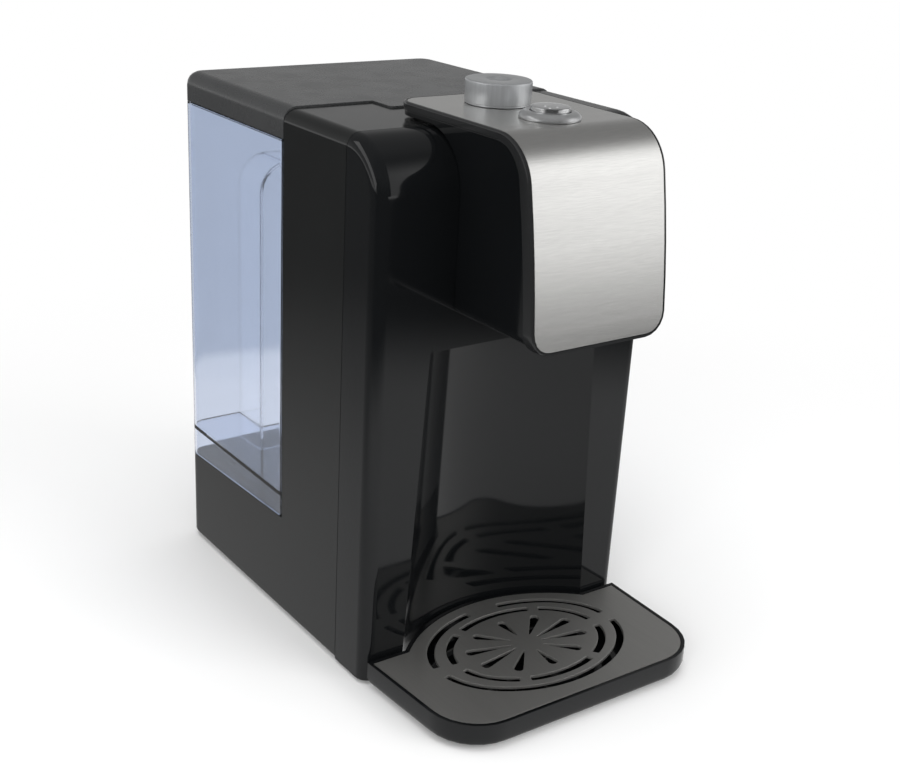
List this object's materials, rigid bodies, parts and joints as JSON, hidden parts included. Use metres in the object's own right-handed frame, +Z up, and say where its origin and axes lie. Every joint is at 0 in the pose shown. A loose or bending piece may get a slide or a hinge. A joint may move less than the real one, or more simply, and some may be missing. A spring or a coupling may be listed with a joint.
{
  "type": "instant hot water dispenser",
  "caption": "Countertop hot water dispenser: lift-out clear tank, raised spout head with selector knob and push button, cup alcove and pull-out drip tray.",
  "frame": {"origin": "centre of the bounding box at the height of the feet's undersides", "axes": "+Z up, +Y from the drip tray to the tank, +X to the right for someone who faces the spout"},
  "size_m": [0.1648, 0.2784, 0.2901],
  "materials": {
    "casing_plastic": "satin black",
    "fascia_plastic": "high gloss black",
    "lid_plastic": "satin dark grey",
    "tank_plastic": "clear, faint blue tint",
    "brushed_steel": "fine brushed",
    "silver_plastic": "satin silver paint",
    "bright_metal": "bright plated",
    "plate_metal": "dark satin",
    "rubber": "black",
    "silicone": "translucent white",
    "white_plastic": "natural white",
    "heater_metal": "cast",
    "circuit_board": "green resist",
    "dark_component": "black",
    "spring_steel": "plain"
  },
  "bodies": {
    "machine": {"housing": "casing_plastic", "bottom_cover": "casing_plastic", "fascia": "fascia_plastic", "foot_front_left": "rubber", "foot_front_right": "rubber", "foot_rear_left": "rubber", "foot_rear_right": "rubber", "cord_gland": "rubber", "head_shell": "fascia_plastic", "head_frame": "fascia_plastic", "steel_panel": "brushed_steel", "selector_body": "dark_component", "button_collar": "bright_metal", "button_spring": "spring_steel", "microswitch": "dark_component", "control_board": "circuit_board", "spout_nozzle": "dark_component", "outlet_chamber": "white_plastic", "tank_socket": "white_plastic", "socket_seal": "rubber", "pump_motor": "heater_metal", "pump_head": "white_plastic", "flow_heater": "heater_metal", "heater_bracket": "spring_steel", "thermostat": "dark_component", "thermal_fuse": "spring_steel", "inlet_hose": "silicone", "pump_hose": "silicone", "outlet_hose": "silicone", "power_board": "circuit_board", "power_relay": "dark_component", "transformer": "white_plastic"},
    "knob": {"knob": "silver_plastic", "knob_spindle": "bright_metal"},
    "button": {"button_cap": "bright_metal", "button_stem": "white_plastic"},
    "water_tank": {"tank": "tank_plastic", "valve_housing": "dark_component", "tank_filter": "silicone", "valve_spring": "spring_steel"},
    "lid": {"tank_lid": "lid_plastic"},
    "poppet": {"valve_poppet": "dark_component", "valve_washer": "rubber"},
    "tray": {"drip_tray": "fascia_plastic", "tray_foot_left": "rubber", "tray_foot_right": "rubber"},
    "plate": {"drip_plate": "plate_metal"}
  },
  "joints": [
    {"name": "knob_turn", "type": "hinge", "parent": "machine", "child": "knob", "pos_m": [0, -0.03495, 0.2788], "axis": [0, 0, 1], "range_deg": [-270, 0]},
    {"name": "button_press", "type": "slide", "parent": "machine", "child": "button", "axis": [0, 0, -1], "range_m": [0, 0.0025], "stiffness_N_per_m": 600, "springref_m": -0.0015, "deforming": ["button_spring"]},
    {"name": "tank_lift", "type": "slide", "parent": "machine", "child": "water_tank", "axis": [0, 0, 1], "range_m": [0, 0.07]},
    {"name": "lid_lift", "type": "slide", "parent": "water_tank", "child": "lid", "axis": [0, 0, 1], "range_m": [0, 0.05]},
    {"name": "valve_lift", "type": "slide", "parent": "water_tank", "child": "poppet", "axis": [0, 0, 1], "range_m": [0, 0.004], "stiffness_N_per_m": 300, "springref_m": -0.002, "deforming": ["valve_spring"]},
    {"name": "tray_slide", "type": "slide", "parent": "machine", "child": "tray", "axis": [0, -1, 0], "range_m": [0, 0.11]},
    {"name": "plate_lift", "type": "slide", "parent": "tray", "child": "plate", "axis": [0, 0, 1], "range_m": [0, 0.03]}
  ]
}
